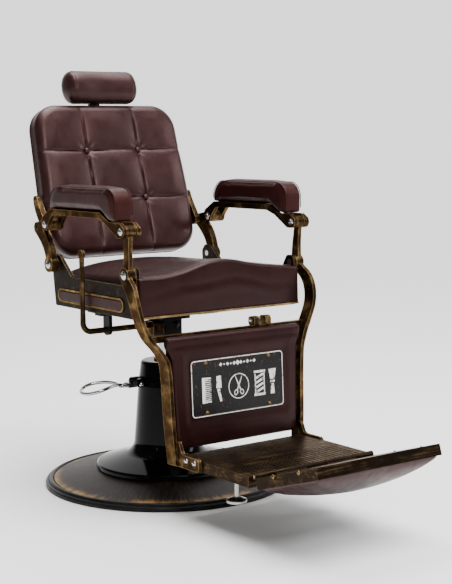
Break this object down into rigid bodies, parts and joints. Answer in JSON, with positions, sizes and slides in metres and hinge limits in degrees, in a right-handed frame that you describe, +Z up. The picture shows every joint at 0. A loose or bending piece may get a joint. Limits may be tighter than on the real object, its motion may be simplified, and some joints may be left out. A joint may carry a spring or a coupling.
{
  "type": "barber chair",
  "caption": "Reclining barber chair on a hydraulic column with a round floor base, padded arms and headrest, leg panel and flip-over footrest.",
  "frame": {"origin": "on the floor, on the swivel axis at the middle of the base's underside", "axes": "+Z up along the swivel axis; the sitter faces -Y; the sitter's left is +X"},
  "size_m": [0.7, 1.3008, 1.18],
  "materials": {
    "rim_rubber": "satin black moulding",
    "base_bronze": "antique bronze, brushed outwards, with a worn edge",
    "gloss_black": "gloss black enamel",
    "seat_board": "plywood seat board",
    "black_iron": "semi-gloss black paint",
    "plain_steel": "plain steel",
    "foot_steel": "dull plated steel",
    "chrome_bright": "polished chrome",
    "brass_trim": "aged brass",
    "bronze_cast": "antique bronze casting with rubbed bright edges",
    "bronze_dark": "near-black antique bronze with rubbed gold edges",
    "bronze_brushed": "brushed antique bronze plating",
    "seat_leather": "dark burgundy vinyl leather, soft sheen",
    "arm_leather": "burgundy vinyl leather, soft sheen",
    "shell_leather": "dark burgundy vinyl leather",
    "plate_paint": "black enamel with a worn pale border"
  },
  "bodies": {
    "base": {"base_rim": "rim_rubber", "base_plate": "base_bronze", "pump_cover": "gloss_black", "pump_skirt": "gloss_black", "cylinder_tube": "plain_steel"},
    "head": {"pump_head": "gloss_black", "head_bushing": "brass_trim", "lever_bracket": "gloss_black", "lever_pin": "chrome_bright"},
    "pump_lever": {"lever_clamp": "chrome_bright", "lever_rod": "chrome_bright"},
    "seat": {"piston": "chrome_bright", "column_block": "black_iron", "lock_housing": "bronze_cast", "carrier_frame": "black_iron", "seat_pan": "seat_board", "seat_cushion": "seat_leather", "seat_trim": "brass_trim", "shaft_hanger": "black_iron", "side_plate_left": "bronze_dark", "side_plate_right": "bronze_dark", "side_inlay_left": "seat_leather", "side_inlay_right": "seat_leather", "inlay_trim_left": "brass_trim", "inlay_trim_right": "brass_trim", "seat_pin_rear_left": "chrome_bright", "seat_pin_rear_right": "chrome_bright", "seat_pin_front_left": "chrome_bright", "seat_pin_front_right": "chrome_bright"},
    "recline_handle": {"recline_lever": "bronze_cast"},
    "back": {"back_cushion": "seat_leather", "back_frame": "shell_leather", "headrest_collar": "chrome_bright", "back_link_left": "bronze_cast", "back_link_right": "bronze_cast"},
    "headrest": {"headrest_post": "chrome_bright", "headrest_cushion": "seat_leather"},
    "arm_left": {"arm_pad_left": "arm_leather", "arm_bracket_left": "bronze_cast", "arm_pin_rear_left": "chrome_bright", "arm_pin_front_left": "chrome_bright"},
    "arm_right": {"arm_pad_right": "arm_leather", "arm_bracket_right": "bronze_cast", "arm_pin_rear_right": "chrome_bright", "arm_pin_front_right": "chrome_bright"},
    "legrest": {"leg_left": "bronze_cast", "leg_right": "bronze_cast", "leg_panel": "seat_leather", "panel_plate": "plate_paint", "leg_crossbar": "bronze_cast", "lug_pin": "chrome_bright", "leg_stretcher_upper": "bronze_cast", "leg_stretcher_lower": "bronze_cast", "platform": "bronze_brushed", "platform_tread": "bronze_brushed", "flap_pin": "plain_steel"},
    "flap": {"flap_tray": "bronze_brushed", "flap_pad": "seat_leather"},
    "foot_left": {"levelling_foot_left": "foot_steel"},
    "foot_right": {"levelling_foot_right": "foot_steel"}
  },
  "joints": [
    {"name": "swivel", "type": "hinge", "parent": "base", "child": "head", "pos_m": [0, 0, 0.283], "axis": [0, 0, 1], "continuous": true},
    {"name": "pump", "type": "hinge", "parent": "head", "child": "pump_lever", "pos_m": [-0.097, 0, 0.292], "axis": [0, -1, 0], "range_deg": [0, 22], "stiffness_Nm_per_rad": 4, "springref_deg": -20.05},
    {"name": "lift", "type": "slide", "parent": "head", "child": "seat", "axis": [0, 0, 1], "range_m": [0, 0.15]},
    {"name": "recline", "type": "hinge", "parent": "seat", "child": "back", "pos_m": [0, 0.15, 0.632], "axis": [-1, 0, 0], "range_deg": [0, 45]},
    {"name": "legrest_swing", "type": "hinge", "parent": "seat", "child": "legrest", "pos_m": [0, -0.25, 0.632], "axis": [-1, 0, 0], "range_deg": [0, 45]},
    {"name": "arm_left_level", "type": "hinge", "parent": "back", "child": "arm_left", "pos_m": [0.278, 0.14, 0.745], "axis": [-1, 0, 0], "range_deg": [-45, 0]},
    {"name": "arm_right_level", "type": "hinge", "parent": "back", "child": "arm_right", "pos_m": [-0.278, 0.14, 0.745], "axis": [-1, 0, 0], "range_deg": [-45, 0]},
    {"name": "headrest_slide", "type": "slide", "parent": "back", "child": "headrest", "axis": [0, 0.2756, 0.9613], "range_m": [0, 0.09]},
    {"name": "release", "type": "hinge", "parent": "seat", "child": "recline_handle", "pos_m": [-0.2, -0.018, 0.458], "axis": [-1, 0, 0], "range_deg": [0, 25], "stiffness_Nm_per_rad": 8, "springref_deg": -17.19},
    {"name": "flap_hinge", "type": "hinge", "parent": "legrest", "child": "flap", "pos_m": [0, -0.662, 0.172], "axis": [-1, 0, 0], "range_deg": [0, 160]},
    {"name": "foot_left_screw", "type": "slide", "parent": "legrest", "child": "foot_left", "axis": [0, 0, -1], "range_m": [0, 0.015]},
    {"name": "foot_right_screw", "type": "slide", "parent": "legrest", "child": "foot_right", "axis": [0, 0, -1], "range_m": [0, 0.015]}
  ],
  "couplings": [
    {"joint": "legrest_swing", "follows": "recline", "ratio": 1},
    {"joint": "arm_left_level", "follows": "recline", "ratio": -1},
    {"joint": "arm_right_level", "follows": "recline", "ratio": -1}
  ]
}
